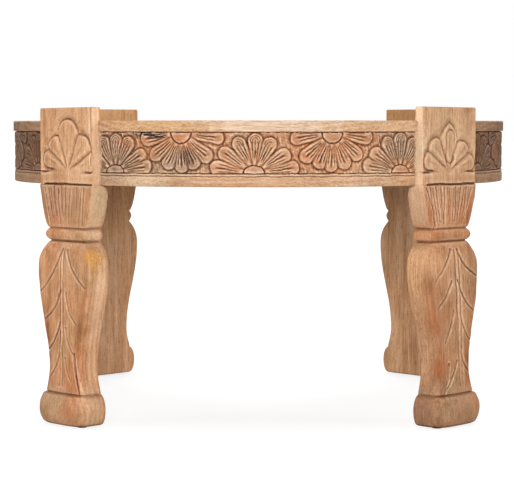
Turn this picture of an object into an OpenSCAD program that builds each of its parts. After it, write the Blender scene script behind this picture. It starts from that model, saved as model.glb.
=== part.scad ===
// Round low table: four carved plank legs, a carved ring apron in four pieces
// and a boarded top. Millimetres, +Z up, origin on the floor under the middle
// of the top. The front of the table faces -Y.

/* [Overall] */
// Diameter of the round top
top_d = 750; // [640:5:1000]
// Height of the leg posts above the floor
post_h = 450; // [420:5:600]
// How far the posts stand above the top
post_rise = 20; // [8:1:40]

/* [Top] */
// Thickness of the top boards
board_t = 15; // [13:0.5:28]
// How far the top stands out past the apron
top_overhang = 1.5; // [0.5:0.5:8]
// Chamfer along the top's round edge
edge_chamfer = 1.2; // [0.4:0.2:3]
// Clearance between a post and its notch in the top
notch_fit = 0.3; // [0.2:0.1:1]

/* [Board dowels] */
// Diameter of the dowels between boards
dowel_d = 6; // [5:0.5:8]
// Length of a board dowel
dowel_l = 40; // [24:1:60]
// Distance between neighbouring dowels along a seam
dowel_pitch = 190; // [120:5:200]

/* [Apron] */
// Height of the apron
apron_h = 75; // [64:1:100]
// Thickness of the apron
apron_t = 28; // [24:1:34]
// Height of the plain strip under the frieze
strip_h = 17.5; // [10:0.5:24]
// Depth of the carved ground behind the flowers
carve_depth = 2.5; // [1:0.5:5]
// Length of the tongue that laps behind a leg
lap_l = 16; // [8:1:22]
// Thickness of leg left in front of a tongue, and of its post above the apron
lap_cover = 14; // [12:0.5:20]
// Clearance round a tongue
lap_fit = 0.2; // [0.1:0.05:0.5]

/* [Frieze flowers] */
// Angle round the table from one flower to the next
flower_pitch = 16; // [14:0.5:20]
// Radius of the half-disc at the heart of a flower
heart_r = 12.5; // [9:0.5:15]
// Width of the cut round the heart and along the frieze's edges
flower_cut = 2.5; // [1:0.1:4]
// Space between a flower's tallest petal and the frieze's far edge
flower_gap = 4; // [3:0.5:12]
// How much longer a flower's side petals are than its middle one
flower_spread = 6; // [0:0.5:14]
// Radius of a petal's round tip
petal_tip_r = 9.4; // [6:0.1:9.8]

/* [Leg plank] */
// Width of a leg's block, beside the apron
block_w = 117; // [100:1:130]
// Thickness of a leg at its block
leg_t = 30; // [27:0.5:36]
// How far a leg's face stands out past the top's edge
face_proud = 5; // [2:0.5:12]
// Height of the fluted capital under the block
capital_h = 62.5; // [44:0.5:76]
// Width at the top of the capital
capital_w = 115.5; // [96:0.5:125]
// How far the capital's face swells at its top
capital_swell = 2; // [0:0.5:5]
// Width at the neck, above and below the ring
neck_w = 77; // [60:1:90]
// Height of the rounded ring under the capital
ring_h = 18; // [12:1:26]
// How far the ring stands out at each side
ring_proud = 5; // [2:0.5:8]
// Height of the leaf body's rounded shoulder
shoulder_h = 40; // [20:1:48]
// Width of the leaf body at its widest
body_w = 113; // [90:1:120]
// How far the body's face swells past the block's
body_swell = 8; // [2:0.5:14]
// How much the body's face draws in at the ankle
ankle_draw = 0.5; // [0:0.5:6]
// Width at the ankle
ankle_w = 67; // [50:1:80]
// Height of the ankle's narrowest place above the foot
ankle_rise = 36; // [20:1:50]
// Width of the flared lip over the foot
lip_w = 81; // [66:1:92]
// Height of the foot
foot_h = 43.5; // [32:0.5:60]
// Width of the foot at its widest
foot_w = 102; // [84:1:112]
// How far the foot swells past the block's face
foot_swell = 17; // [6:0.5:20]
// How much the foot draws in at its top and bottom edges
foot_round = 9; // [4:0.5:14]
// Radius of the foot's rounded outer corners
foot_corner_r = 8; // [4:1:18]
// How far each foot spreads outwards, from the body's widest place down
foot_spread = 2.5; // [0:0.5:8]
// How much further the front right foot spreads
front_right_spread = 6; // [0:0.5:8]

/* [Leg carving] */
// Depth of the lines carved in the legs
line_depth = 1.6; // [0.6:0.2:3]
// Width of the lines carved in the legs
line_w = 2.6; // [1.4:0.2:4]
// Number of flutes on the capital
flute_count = 8; // [5:1:11]
// Length of the palmette's middle petal
palm_l = 72; // [50:1:76]
// Radius of the round tip of a palmette petal
palm_tip_r = 13; // [8:0.5:14]
// Width of a palmette petal at the fan's foot
palm_stem_w = 6; // [3:0.5:10]
// Height of the palmette's foot above the block's lower edge
palm_rise = 16; // [8:1:24]
// Distance from the leaf's middle to each line of its midrib
rib_half = 4.2; // [2.5:0.1:6]
// Plain wood between the tip of the longest vein and the leg's edge
vein_margin = 6; // [3:0.5:12]
// How far a vein bows out
vein_bow = 6; // [0:0.5:10]

/* [Inner frame] */
// Width of a cleat under the top
cleat_w = 40; // [28:1:60]
// Height of a cleat
cleat_h = 20; // [18:1:28]
// Space between a cleat's end corners and the apron's inner wall
cleat_end_gap = 6; // [1:1:30]
// Distance of a cleat's middle from the middle of the table
cleat_x = 140; // [100:5:150]
// Height of a corner block
corner_h = 50; // [40:1:58]
// Depth of a corner block, from a leg's back inwards
corner_depth = 32; // [26:1:40]
// Half of a corner block's width at its wings
wing_reach = 84; // [76:1:95]
// How much a corner block's inner edges are cut back, along the leg
wing_cut = 20; // [8:1:26]
// How thick a corner block's wings are left at their ends
wing_end = 12; // [6:1:20]
// Distance of the leg's screws from the middle of a corner block
leg_screw_x = 24; // [14:1:30]
// Distance of the apron's screws from the ends of a corner block
wing_screw_inset = 16; // [12:1:22]

/* [Screws] */
// Diameter of a screw's shank
screw_d = 4; // [3:0.5:5]
// Diameter of a screw's head
screw_head_d = 8; // [7:0.5:9]
// How deep a screw bites in the piece it holds
screw_bite = 9; // [7:0.5:10]
// Clearance round screws and dowels
bore_fit = 0.1; // [0.05:0.05:0.2]
// Distance of a cleat's last screws from its ends
cleat_screw_inset = 18; // [12:1:40]
// Wood between a corner block's counterbore and the top
top_screw_grip = 24; // [18:1:30]

/* [Glides] */
// Diameter of a glide under a foot
glide_d = 15; // [12:0.5:18]
// Height of a glide
glide_h = 2; // [1.5:0.5:5]
// Distance of a glide from the middle of its foot
glide_reach = 27; // [22:0.5:28]
// Diameter of a glide's nail
nail_d = 2.5; // [2:0.25:3]
// Length of a glide's nail
nail_l = 16; // [10:1:24]

/* [Hidden] */

$fn = 96;
eps = 0.01;
diagonal = sqrt(2);

// directions of the legs and of the apron pieces, seen from above
front_left = 225;
front_right = 315;
rear_right = 45;
rear_left = 135;
leg_angles = [front_left, front_right, rear_right, rear_left];

// heights above the floor
top_z = post_h - post_rise;
board_z = top_z - board_t;
apron_z = board_z - apron_h;
frieze_z = apron_z + strip_h;
frieze_h = board_z - frieze_z;
block_z = apron_z + line_depth;
capital_z = block_z - capital_h;
ring_z = capital_z - ring_h;
bulge_z = ring_z - shoulder_h;
foot_top_z = glide_h + foot_h;
lip_z = foot_top_z + line_w;
ankle_z = foot_top_z + ankle_rise;

// distances from the table's axis
top_r = top_d / 2;
apron_r = top_r - top_overhang;
apron_in_r = apron_r - apron_t;
face_r = top_r + face_proud;
back_r = face_r - leg_t;
lap_r = face_r - lap_cover;
post_back_r = lap_r + lap_fit;
glide_r = back_r + (leg_t + foot_swell) / 2;

// outward shift of a leg at a height, none above the body's widest place
function spread_at(z, spread) =
    spread * max(0, min(1, (bulge_z - z) / (bulge_z - foot_top_z)));
function spread_of(angle) = foot_spread + (angle == front_right ? front_right_spread : 0);

// back of a leg's post above the apron; the rear left one keeps the plank's whole thickness
function post_back_of(angle) = angle == rear_left ? back_r : post_back_r;

// boards
board_count = 6;
board_w = top_d / board_count;
dowels_per_seam = 3;
far = top_d;

// a cleat runs across the top, short of the apron's inner wall
cleat_side = cleat_x + cleat_w / 2;
cleat_l = 2 * (sqrt(pow(apron_in_r, 2) - pow(cleat_side, 2)) - cleat_end_gap);

// curves of the leg's outline
function mix(a, b, t) = a + (b - a) * t;
function ease(t) = (1 - cos(180 * t)) / 2;
function shoulder(t) = 1 - pow(t, 2.5);
// sideways draw-in of a barrel form, 0 at its middle and 1 at its ends
barrel = 0.96;
function barrel_in(t) = (1 - sqrt(1 - pow(barrel * t, 2))) / (1 - sqrt(1 - pow(barrel, 2)));

// one height station of the leg: [height, half width, distance of the face]
function foot_station(t) = [
    mix(glide_h, foot_top_z, (t + 1) / 2),
    foot_w / 2 - foot_round * barrel_in(t),
    face_r + foot_swell - foot_round * 0.6 * barrel_in(t)
];
function lip_station(t) = [
    mix(lip_z, ankle_z, t),
    mix(lip_w, ankle_w, sin(90 * t)) / 2,
    face_r + body_swell - ankle_draw * sin(90 * t)
];
function body_station(t) = [
    mix(ankle_z, bulge_z, t),
    mix(ankle_w, body_w, ease(t)) / 2,
    face_r + body_swell - ankle_draw * (1 - ease(t))
];
function shoulder_station(t) = [
    mix(bulge_z, ring_z, t),
    mix(neck_w, body_w, shoulder(t)) / 2,
    face_r + body_swell * shoulder(t)
];
function ring_station(t) = [
    mix(ring_z, capital_z, t),
    neck_w / 2 + ring_proud * sin(180 * t),
    face_r + ring_proud * 0.8 * sin(180 * t)
];
function capital_station(t) = [
    mix(capital_z, block_z - line_w, t * t),
    mix(neck_w, capital_w, t) / 2,
    face_r + capital_swell * sin(90 * t)
];
leg_stations = concat(
    [for (i = [0:10]) foot_station(i / 5 - 1)],
    [[foot_top_z + line_w / 2, foot_w / 2 - foot_round - 2, face_r + body_swell - 3]],
    [for (i = [0:6]) lip_station(i / 6)],
    [for (i = [1:14]) body_station(i / 14)],
    [for (i = [1:9]) shoulder_station(1 - pow(1 - i / 9, 1.6))],
    [for (i = [1:9]) ring_station(i / 10)],
    [for (i = [0:9]) capital_station(i / 9)],
    [[block_z - line_w / 2, capital_w / 2 - 1, face_r - line_depth]],
    [[block_z, block_w / 2, face_r], [post_h, block_w / 2, face_r]]
);

function mirrored(points) = concat(
    points,
    [for (i = [len(points) - 1:-1:0]) [-points[i].x, points[i].y]]
);

// ---- pieces of ornament, as flat outlines ----

// petal pointing along +X from its flower's heart
module petal(base, reach, tip_r, base_w) {
    polygon(concat(
        [[base, -base_w / 2]],
        [for (a = [-100:25:100]) [reach - tip_r + tip_r * cos(a), tip_r * sin(a)]],
        [[base, base_w / 2]]
    ));
}

// curved line that tapers towards its far end; bow pushes its middle sideways
module tapered_line(from, to, width, bow) {
    along = to - from;
    side = [-along.y, along.x] / norm(along);
    mid = [for (i = [0:8]) from + along * i / 8 + side * bow * sin(180 * i / 8)];
    half = [for (i = [0:8]) width / 2 * (1 - 0.75 * i / 8)];
    polygon(concat(
        [for (i = [0:8]) mid[i] + side * half[i]],
        [for (i = [8:-1:0]) mid[i] - side * half[i]]
    ));
}

// half-flower standing on the X axis, its heart at the origin
petal_angles = [11, 37, 63, 90, 117, 143, 169];
module half_flower() {
    for (a = petal_angles)
        rotate(a)
            petal(
                heart_r + flower_cut,
                frieze_h - flower_gap + flower_spread * abs(cos(a)),
                petal_tip_r,
                heart_r * 0.3
            );
    intersection() {
        circle(heart_r);
        translate([-heart_r, 0]) square([2 * heart_r, heart_r]);
    }
}

// fan of five petals on a leg's block; grow widens each petal for its outline
palm_fan = [[90, 1], [54, 0.83], [126, 0.83], [20, 0.76], [160, 0.76]];
module palmette(grow) {
    for (p = palm_fan)
        rotate(p[0]) petal(palm_stem_w / 3, palm_l * p[1] + grow, palm_tip_r + grow, palm_stem_w + grow);
}

// ---- legs ----

// turns a piece drawn with +Y outwards to face the given direction
module facing(angle) {
    rotate([0, 0, angle - 90]) children();
}

// solid of a flat outline drawn as X across and Z up, run outwards along Y
module run_out(from, to) {
    translate([0, to, 0]) rotate([90, 0, 0]) linear_extrude(to - from) children();
}

// solid of a side profile drawn as [distance, height], run across the leg
module run_across(width) {
    rotate([90, 0, 90]) translate([0, 0, -width / 2]) linear_extrude(width) children();
}

module leg_outline() {
    polygon(mirrored([for (s = leg_stations) [s[1], s[0]]]));
}

// side profile from its back face to sunk below the carved face
module leg_profile(sunk, angle) {
    over = sunk > 0 ? 1 : 0;
    spread = spread_of(angle);
    post_back = post_back_of(angle);
    polygon(concat(
        [[post_back, post_h + over]],
        post_back > back_r ? [[post_back, board_z], [back_r, board_z]] : [],
        [
            [back_r, bulge_z],
            [back_r + spread, foot_top_z], [back_r + spread, glide_h - over]
        ],
        [for (s = leg_stations) [s[2] - sunk + spread_at(s[0], spread), s[0]]]
    ));
}

// rounded-bottom grooves down the capital
module flutes() {
    pitch = (neck_w - 2 * line_w) / (flute_count - 1);
    spread = (capital_w - 6 * line_w) / (neck_w - 2 * line_w);
    for (i = [0:flute_count - 1]) {
        x = (i - (flute_count - 1) / 2) * pitch;
        tapered_line(
            [x * spread, block_z - 2 * line_w],
            [x, capital_z + 2 * line_w],
            line_w,
            0
        );
    }
}

// double midrib and branching veins of the leaf on the body
module leaf_lines() {
    rib_top = bulge_z + shoulder_h * 0.72;
    rib_low = foot_top_z + line_w * 2;
    for (side = [-1, 1]) {
        tapered_line([side * rib_half, rib_top], [side * rib_half * 0.7, rib_low], line_w, 0);
        for (v = [0:3]) {
            drop = (rib_top - rib_low) * (0.04 + 0.24 * v);
            reach = (body_w / 2 - vein_margin) * (1 - 0.21 * v);
            fall = (rib_top - rib_low) * (0.31 - 0.05 * v);
            tapered_line(
                [side * (rib_half + line_w / 2), rib_top - drop],
                [side * reach, rib_top - drop - fall],
                line_w,
                side * vein_bow
            );
        }
    }
}

module leg_carving(angle) {
    palm_z = block_z + palm_rise;
    difference() {
        run_out(back_r, face_r + foot_swell + spread_of(angle) + 1) {
            translate([0, palm_z])
                difference() {
                    palmette(line_w / 2);
                    palmette(-line_w / 2);
                }
            flutes();
            leaf_lines();
        }
        run_across(2 * block_w) leg_profile(line_depth, angle);
    }
}

// back corners cut away for the apron's tongues
module lap_rebates() {
    reach = block_w / 2 - lap_l - lap_fit;
    for (side = [0, 1])
        mirror([side, 0, 0])
            translate([reach, back_r - 1, apron_z - lap_fit])
                cube([block_w, post_back_r - back_r + 1, apron_h + 2 * lap_fit]);
}

// wood taken off the foot's two outer corners
module foot_corners(spread) {
    for (side = [0, 1])
        mirror([side, 0, 0])
            translate([
                foot_w / 2 - foot_corner_r,
                face_r + foot_swell + spread - foot_corner_r,
                glide_h
            ])
                difference() {
                    cube([foot_corner_r + 1, foot_corner_r + 1, foot_h]);
                    cylinder(r = foot_corner_r, h = foot_h);
                }
}

module leg(angle) {
    spread = spread_of(angle);
    color("peru")
        facing(angle)
            difference() {
                intersection() {
                    run_out(back_r - 1, face_r + foot_swell + spread + 1) leg_outline();
                    run_across(2 * block_w) leg_profile(0, angle);
                }
                leg_carving(angle);
                lap_rebates();
                foot_corners(spread);
                glide_places(spread) cylinder(d = nail_d + 2 * bore_fit, h = nail_l + 1);
                leg_screw_places()
                    screw_bore(corner_depth);
            }
}

// ---- glides: a round pad on a nail ----

module glide_places(spread) {
    for (side = [-1, 1])
        translate([side * glide_reach, glide_r + spread, glide_h]) children();
}

module glides(angle) {
    color("tan")
        facing(angle)
            glide_places(spread_of(angle)) {
                translate([0, 0, -glide_h]) cylinder(d = glide_d, h = glide_h);
                cylinder(d = nail_d, h = nail_l);
            }
}

// ---- apron ----

module ring_wall(outer, inner, low, high) {
    rotate_extrude()
        translate([inner, low]) square([outer - inner, high - low]);
}

// plan of the room between two legs, less or more than their side faces
module between_legs(half_block) {
    apex = half_block * diagonal;
    polygon([[0, apex], [far, far + apex], [-far, far + apex]]);
}

// the same, kept behind the front wall of the legs' rebates
module behind_rebates(half_block) {
    apex = half_block * diagonal;
    limit = lap_r * diagonal;
    side = (limit - apex) / 2;
    polygon([[0, apex], [side, limit - side], [0, limit], [-side, limit - side]]);
}

// carved flowers, alternately rising from the strip and hanging from the top
module frieze_flowers() {
    edge = flower_cut / 2;
    for (i = [-2:2]) {
        rising = i % 2 == 0;
        rotate([0, 0, -i * flower_pitch])
            run_out(apron_in_r + apron_t / 2, apron_r + 1)
                intersection() {
                    translate([0, rising ? frieze_z + edge : board_z - edge])
                        mirror([0, rising ? 0 : 1]) half_flower();
                    translate([-block_w, frieze_z + edge])
                        square([2 * block_w, frieze_h - 2 * edge]);
                }
    }
}

module apron(angle) {
    color("sienna")
        facing(angle)
            difference() {
                union() {
                    intersection() {
                        union() {
                            ring_wall(apron_r, apron_in_r, apron_z, frieze_z);
                            ring_wall(apron_r - carve_depth, apron_in_r, apron_z, board_z);
                            intersection() {
                                ring_wall(apron_r, apron_in_r, apron_z, board_z);
                                frieze_flowers();
                            }
                        }
                        linear_extrude(post_h) between_legs(block_w / 2);
                    }
                    intersection() {
                        ring_wall(apron_r - carve_depth, apron_in_r, apron_z, board_z);
                        linear_extrude(post_h) behind_rebates(block_w / 2 - lap_l);
                    }
                }
                for (turn = [-45, 45])
                    rotate([0, 0, turn]) wing_screw_places() screw_bore(wing_depth);
            }
}

// ---- top ----

module top_disc() {
    rotate_extrude()
        polygon([
            [0, board_z], [top_r, board_z], [top_r, top_z - edge_chamfer],
            [top_r - edge_chamfer, top_z], [0, top_z]
        ]);
}

module post_notches() {
    for (a = leg_angles)
        facing(a)
            translate([-block_w / 2 - notch_fit, post_back_of(a) - notch_fit, board_z - 1])
                cube([block_w + 2 * notch_fit, 2 * leg_t + face_proud, board_t + 2]);
}

module dowel_places() {
    for (seam = [1:board_count - 1], k = [0:dowels_per_seam - 1])
        translate([
            (k - (dowels_per_seam - 1) / 2) * dowel_pitch,
            seam * board_w - top_r,
            board_z + board_t / 2
        ])
            children();
}

module board_dowels() {
    color("burlywood")
        dowel_places() rotate([90, 0, 0]) cylinder(d = dowel_d, h = dowel_l, center = true);
}

module top_board(number) {
    color("wheat")
        difference() {
            intersection() {
                top_disc();
                translate([-far / 2 - 1, (number - 1) * board_w - top_r, board_z - 1])
                    cube([far + 2, board_w, board_t + 2]);
            }
            post_notches();
            dowel_places()
                rotate([90, 0, 0])
                    cylinder(d = dowel_d + 2 * bore_fit, h = dowel_l + 1, center = true);
            cleat_screw_places() screw_bore(cleat_h);
            top_screw_places() screw_bore(top_screw_grip);
        }
}

// ---- screws ----

// countersunk screw along +Z, its head flush with z = 0, its tip past the grip
module wood_screw(grip) {
    slope = (screw_head_d - screw_d) / 2;
    reach = grip + screw_bite;
    rotate_extrude()
        polygon([
            [0, 0], [screw_head_d / 2, 0], [screw_d / 2, slope],
            [screw_d / 2, reach - screw_d], [0, reach]
        ]);
}

// hole for that screw, with a countersunk mouth
module screw_bore(grip) {
    slope = (screw_head_d - screw_d) / 2;
    hole_r = screw_d / 2 + bore_fit;
    translate([0, 0, slope]) cylinder(r = hole_r, h = grip + screw_bite + 0.5 - slope);
    translate([0, 0, -eps])
        cylinder(r1 = screw_head_d / 2 + bore_fit, r2 = hole_r, h = slope + bore_fit);
}

// ---- cleats under the boards ----

module cleat_screw_places() {
    limit = cleat_l / 2 - cleat_screw_inset;
    for (side = [-1, 1], n = [1:board_count]) {
        middle = (n - 0.5) * board_w - top_r;
        translate([side * cleat_x, max(-limit, min(limit, middle)), board_z - cleat_h])
            children();
    }
}

module cleat(side) {
    slope = cleat_h * 0.6;
    color("burlywood")
        difference() {
            translate([side * cleat_x, 0, 0])
                run_across(cleat_w)
                    polygon([
                        [-cleat_l / 2, board_z], [-cleat_l / 2, board_z - cleat_h + slope],
                        [-cleat_l / 2 + slope, board_z - cleat_h],
                        [cleat_l / 2 - slope, board_z - cleat_h],
                        [cleat_l / 2, board_z - cleat_h + slope], [cleat_l / 2, board_z]
                    ]);
            cleat_screw_places() screw_bore(cleat_h);
        }
}

module cleat_screws() {
    color("silver") cleat_screw_places() wood_screw(cleat_h);
}

// ---- corner blocks behind the legs ----

corner_in_r = back_r - corner_depth;
corner_z = board_z - corner_h;
wing_screw_x = wing_reach - wing_screw_inset;
// wood between the head of a wing's screw and the apron
wing_depth = sqrt(pow(apron_in_r, 2) - pow(wing_screw_x, 2)) - corner_in_r;

// screws through a corner block into its leg
module leg_screw_places() {
    for (side = [-1, 1])
        translate([side * leg_screw_x, corner_in_r, corner_z + corner_h / 2])
            rotate([-90, 0, 0]) children();
}

// screws through a corner block's wings into the apron
module wing_screw_places() {
    for (side = [-1, 1])
        translate([side * wing_screw_x, corner_in_r, corner_z + corner_h / 2])
            rotate([-90, 0, 0]) children();
}

// screws up through the corner blocks into the top
module top_screw_places() {
    for (a = leg_angles)
        facing(a)
            translate([0, corner_in_r + corner_depth / 2, board_z - top_screw_grip])
                children();
}

module corner_block(angle) {
    key_w = block_w - 2 * lap_l - 2 * lap_fit;
    color("burlywood")
        difference() {
            facing(angle)
                difference() {
                    union() {
                        intersection() {
                            translate([0, 0, corner_z])
                                linear_extrude(corner_h)
                                    polygon([
                                        [-wing_reach + wing_cut, corner_in_r],
                                        [wing_reach - wing_cut, corner_in_r],
                                        [wing_reach, corner_in_r + wing_end],
                                        [wing_reach, back_r], [-wing_reach, back_r],
                                        [-wing_reach, corner_in_r + wing_end]
                                    ]);
                            cylinder(r = apron_in_r - lap_fit, h = post_h);
                        }
                        translate([-key_w / 2, corner_in_r + 1, corner_z])
                            cube([key_w, corner_depth - 1, corner_h]);
                    }
                    leg_screw_places() screw_bore(corner_depth);
                    wing_screw_places() screw_bore(wing_depth);
                }
            top_screw_places() {
                screw_bore(top_screw_grip);
                translate([0, 0, -corner_h]) cylinder(d = screw_head_d + 1, h = corner_h);
            }
        }
}

module block_screws() {
    color("silver")
        for (a = leg_angles)
            facing(a) {
                leg_screw_places() wood_screw(corner_depth);
                wing_screw_places() wood_screw(wing_depth);
            }
}

module top_screws() {
    color("silver") top_screw_places() wood_screw(top_screw_grip);
}

top_board(1);  // top_board_1
top_board(2);  // top_board_2
top_board(3);  // top_board_3
top_board(4);  // top_board_4
top_board(5);  // top_board_5
top_board(6);  // top_board_6
board_dowels();
apron(270);  // apron_front
apron(0);  // apron_right
apron(90);  // apron_rear
apron(180);  // apron_left
leg(front_left);  // leg_front_left
leg(front_right);  // leg_front_right
leg(rear_right);  // leg_rear_right
leg(rear_left);  // leg_rear_left
corner_block(front_left);  // corner_block_front_left
corner_block(front_right);  // corner_block_front_right
corner_block(rear_right);  // corner_block_rear_right
corner_block(rear_left);  // corner_block_rear_left
block_screws();
cleat(-1);  // cleat_left
cleat(1);  // cleat_right
cleat_screws();
top_screws();
glides(front_left);  // glides_front_left
glides(front_right);  // glides_front_right
glides(rear_right);  // glides_rear_right
glides(rear_left);  // glides_rear_left
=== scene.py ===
import math

import bmesh
import bpy
import numpy as np
from mathutils import Matrix, Vector


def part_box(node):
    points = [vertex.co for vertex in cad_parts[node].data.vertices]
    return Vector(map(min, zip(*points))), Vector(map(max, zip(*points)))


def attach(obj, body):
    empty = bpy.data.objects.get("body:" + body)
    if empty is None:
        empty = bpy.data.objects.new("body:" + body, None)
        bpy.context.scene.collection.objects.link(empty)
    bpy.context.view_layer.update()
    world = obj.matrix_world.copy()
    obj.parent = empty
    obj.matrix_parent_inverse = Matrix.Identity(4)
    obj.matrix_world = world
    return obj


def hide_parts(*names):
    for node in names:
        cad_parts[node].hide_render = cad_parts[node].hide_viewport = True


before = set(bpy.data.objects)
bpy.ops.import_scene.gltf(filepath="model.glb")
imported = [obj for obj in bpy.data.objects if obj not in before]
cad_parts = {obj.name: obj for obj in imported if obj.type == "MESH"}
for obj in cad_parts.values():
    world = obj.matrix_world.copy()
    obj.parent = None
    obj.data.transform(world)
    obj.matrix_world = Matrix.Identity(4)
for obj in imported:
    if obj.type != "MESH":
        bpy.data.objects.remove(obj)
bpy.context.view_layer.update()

# Round low table with four carved plank legs and a carved ring apron.
# Shapes are worked out in millimetres and placed in metres.

MM = 0.001
CLOSE = 1e-6


def corners(node):
    """Lowest and highest corner of a CAD node, in millimetres."""
    return [np.array(corner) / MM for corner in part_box(node)]


# ---- sizes, in millimetres ----

LEG_ANGLES = {"front_left": 225, "front_right": 315, "rear_right": 45, "rear_left": 135}
APRON_ANGLES = {"front": 270, "right": 0, "rear": 90, "left": 180}
BOARDS = 6

POST_H = corners("leg_front_left")[1][2]
FOOT_Z = corners("leg_front_left")[0][2]
TOP_Z = corners("top_board_3")[1][2]
BOARD_Z = corners("top_board_3")[0][2]
APRON_Z = corners("apron_front")[0][2]
TOP_R = corners("top_board_3")[1][0]

# apron
APRON_R = TOP_R - 1.5
APRON_T = 28
APRON_IN_R = APRON_R - APRON_T
STRIP_H = 17.5
FRIEZE_Z = APRON_Z + STRIP_H
FRIEZE_H = BOARD_Z - FRIEZE_Z
LAP_L = 16
LAP_FIT = 0.2

# leg plank
BLOCK_W = 117
LEG_T = 30
FACE_R = TOP_R + 5
BACK_R = FACE_R - LEG_T
LAP_FRONT = 14
LAP_R = FACE_R - LAP_FRONT
POST_BACK_R = LAP_R + LAP_FIT
BLOCK_Z = APRON_Z + 1.6
CUT_H = 2.6
CAPITAL_Z = BLOCK_Z - 62.5
RING_Z = CAPITAL_Z - 18
BULGE_Z = RING_Z - 40
FOOT_TOP_Z = FOOT_Z + 43.5
GROOVE_Z = FOOT_TOP_Z + CUT_H / 2
LIP_Z = FOOT_TOP_Z + CUT_H
ANKLE_Z = FOOT_TOP_Z + 36
CAPITAL_W = 115.5
NECK_W = 77
BODY_W = 113
ANKLE_W = 67
LIP_W = 81
FOOT_W = 102
FOOT_SWELL = 17
FOOT_ROUND = 9
BODY_SWELL = 8
ANKLE_DRAW = 0.5
RING_PROUD = 5
BARREL = 0.96
FOOT_SPREADS = {"front_left": 2.5, "front_right": 8.5, "rear_right": 2.5, "rear_left": 2.5}

# inner frame
CORNER_H = 50
CORNER_T = 32
CORNER_IN_R = BACK_R - CORNER_T
WING_REACH = 84
WING_SCREW_IN = 16
LEG_SCREW_X = 24
TOP_SCREW_OUT = 16
CLEAT_H = 20
CLEAT_X = 140
CLEAT_SCREW_IN = 18

# screws and glides
SCREW_D = 4
HEAD_D = 8
SCREW_BITE = 9
TOP_GRIP = 24
RECESS_R = 2.3
RECESS_MIDDLE_R = 0.8
RECESS_SECTOR = 23
RECESS_DEEP = 1.4
GLIDE_D = 15
NAIL_D = 2.5
NAIL_TIP_Z = 19
NAIL_POINT = 2
GLIDE_REACH = 27
GLIDE_R = BACK_R + (LEG_T + FOOT_SWELL) / 2


# ---- curves and cuts, on arrays of places ----


def mix(low, high, t):
    return low + (high - low) * t


def unit(values):
    return np.clip(values, 0, 1)


def peak(gap, width):
    """1 where the gap is 0, down to 0 at this width."""
    return unit(1 - np.abs(gap) / width)


def ease(t):
    return (1 - np.cos(np.pi * t)) / 2


def barrel_in(t):
    """Sideways draw-in of a barrel form, 0 at its middle and 1 at its ends."""
    edge = 1 - math.sqrt(1 - BARREL**2)
    return (1 - np.sqrt(1 - (BARREL * t) ** 2)) / edge


def ripples(x, y, size, seed):
    """Seeded unevenness between about -1 and 1, with features of about this size."""
    rng = np.random.default_rng(seed)
    total = 0
    for turn, phase, length in rng.uniform((0, 0, 0.6), (2 * np.pi, 2 * np.pi, 1.6), (7, 3)):
        step = 2 * np.pi / (size * length)
        total = total + np.sin(step * (x * math.cos(turn) + y * math.sin(turn)) + phase)
    return total / 3.2


def cut_line(x, y, start, end, bow=0.0, wide=3.0, deep=1.6, taper=0.55):
    """Depth of a V cut along a bowed line that narrows towards its end."""
    run_x, run_y = end[0] - start[0], end[1] - start[1]
    length = math.hypot(run_x, run_y)
    run_x, run_y = run_x / length, run_y / length
    along = ((x - start[0]) * run_x + (y - start[1]) * run_y) / length
    side = (y - start[1]) * run_x - (x - start[0]) * run_y
    t = unit(along)
    gap = np.hypot(side - bow * np.sin(np.pi * t), (along - t) * length)
    narrow = 1 - taper * t
    return deep * narrow * peak(gap, wide / 2 * narrow)


def petal_place(x, y, foot, turn, reach, foot_r, tip_r, point=0.0):
    """How far outside a petal each place is, and its place along and across it.

    A tip is round where point is 0, and a pointed arch where it is more.
    """
    dx, dy = x - foot[0], y - foot[1]
    c, s = math.cos(math.radians(turn)), math.sin(math.radians(turn))
    along = dx * c + dy * s
    across = dy * c - dx * s
    side = np.abs(across)
    length = reach - math.sqrt(tip_r**2 + 2 * tip_r * point)
    lean = (foot_r - tip_r) / length
    rise = math.sqrt(1 - lean**2)
    climb = along * rise - side * lean
    tip = np.hypot(side + point, along - length) - tip_r - point
    outside = side * rise + along * lean - foot_r
    outside = np.where(climb < 0, np.hypot(side, along) - foot_r, outside)
    outside = np.where(climb > length * rise, tip, outside)
    return outside, along / reach, across / tip_r


def nearest_petal(x, y, petals):
    """Distance outside the nearest petal, how far the next one is from there, and the place on it."""
    places = [petal_place(x, y, *petal) for petal in petals]
    outside = np.stack([place[0] for place in places])
    which = outside.argmin(axis=0)[None]
    first, second = np.partition(outside, 1, axis=0)[:2]
    along = np.take_along_axis(np.stack([place[1] for place in places]), which, 0)[0]
    across = np.take_along_axis(np.stack([place[2] for place in places]), which, 0)[0]
    return first, (second - first) / 2, along, across


def dome(inside, width):
    """Rise of a rounded form from 0 at its edge to 1 at this distance inside."""
    edge = unit(inside / width)
    return np.sqrt(1 - (1 - edge) ** 2)


BLUR_TIMES = 14


def blurred(values):
    """Values averaged with their neighbours on the grid, time after time."""
    for _ in range(BLUR_TIMES):
        for axis in (0, 1):
            beside = np.roll(values, 1, axis) + np.roll(values, -1, axis)
            values = values / 2 + beside / 4
    return values


def petal_relief(edge, valley, along, sizes):
    """Depth of domed petals, sunk where two meet, along their rims and towards their foot."""
    relief = 0.3 + sizes["gap_deep"] * (1 - unit(valley / sizes["gap_wide"])) ** sizes["gap_power"]
    relief = relief + 1 - dome(edge, sizes["dome_wide"]) + sizes["foot_deep"] * unit(1 - along)
    return relief + sizes["rim_deep"] * unit(1 - edge / sizes["rim_wide"])


def hollow_and_ridge_marks(depth, hollow_at, ridge_at):
    """Marks from 0 to 1 for the cut-in and the proud places of a carved surface, which darken it as
    patina and painted shade and lighten it as wear and painted highlight.
    """
    cavity = depth - blurred(depth)
    return unit(cavity / hollow_at), unit(-cavity / ridge_at)


# ---- meshes ----


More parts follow.
